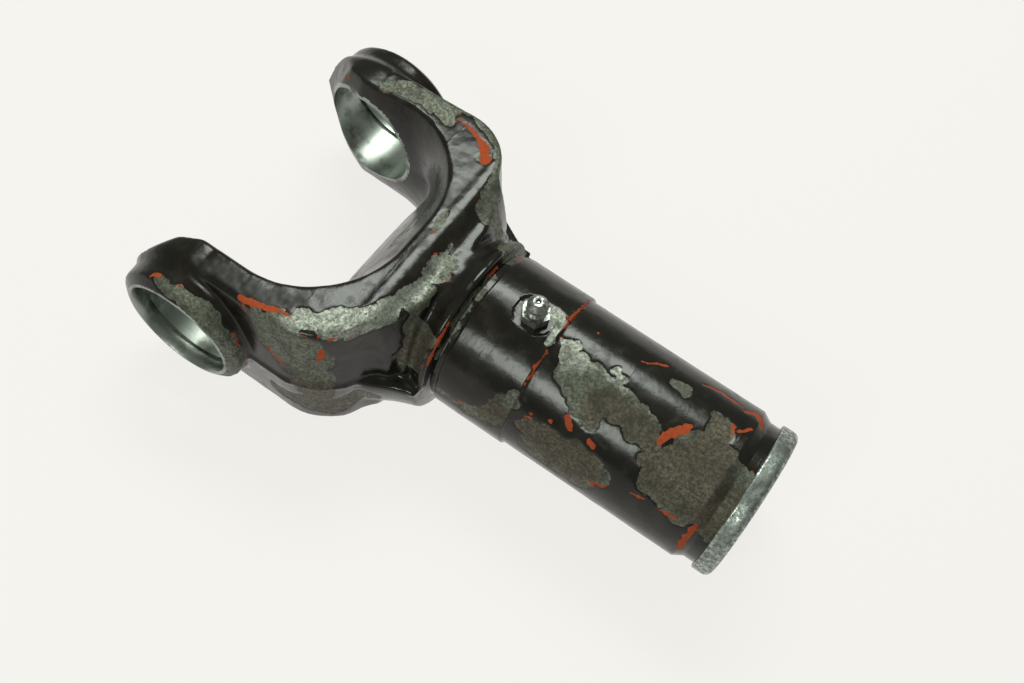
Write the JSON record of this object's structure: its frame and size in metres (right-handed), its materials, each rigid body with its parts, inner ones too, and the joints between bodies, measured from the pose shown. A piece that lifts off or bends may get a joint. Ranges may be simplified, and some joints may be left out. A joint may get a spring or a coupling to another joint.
{
  "type": "slip yoke",
  "caption": "Forged driveline yoke: ears with a cross bore and snap-ring grooves, a U-shaped throat, and a splined sleeve with a grease fitting and a dust seal.",
  "frame": {"origin": "centre of the cross bore, on the sleeve's axis", "axes": "+X along the sleeve to its open end, +Y along the cross bore, +Z normal to the fork's plane, on the side of the grease fitting"},
  "size_m": [0.194, 0.1142, 0.0622],
  "materials": {
    "painted_forging": "gloss black-brown paint over orange primer, chipped to bare forged steel",
    "plated_sheet": "bare pressed sheet steel, satin",
    "seal_rubber": "matt black",
    "plated_fitting": "dull zinc plate, grey with grease",
    "spring_steel": "polished"
  },
  "bodies": {
    "root": {"yoke": "painted_forging", "seal_cap": "plated_sheet", "seal_ring": "seal_rubber", "grease_fitting": "plated_fitting", "fitting_ball": "spring_steel", "fitting_spring": "spring_steel"}
  },
  "joints": []
}
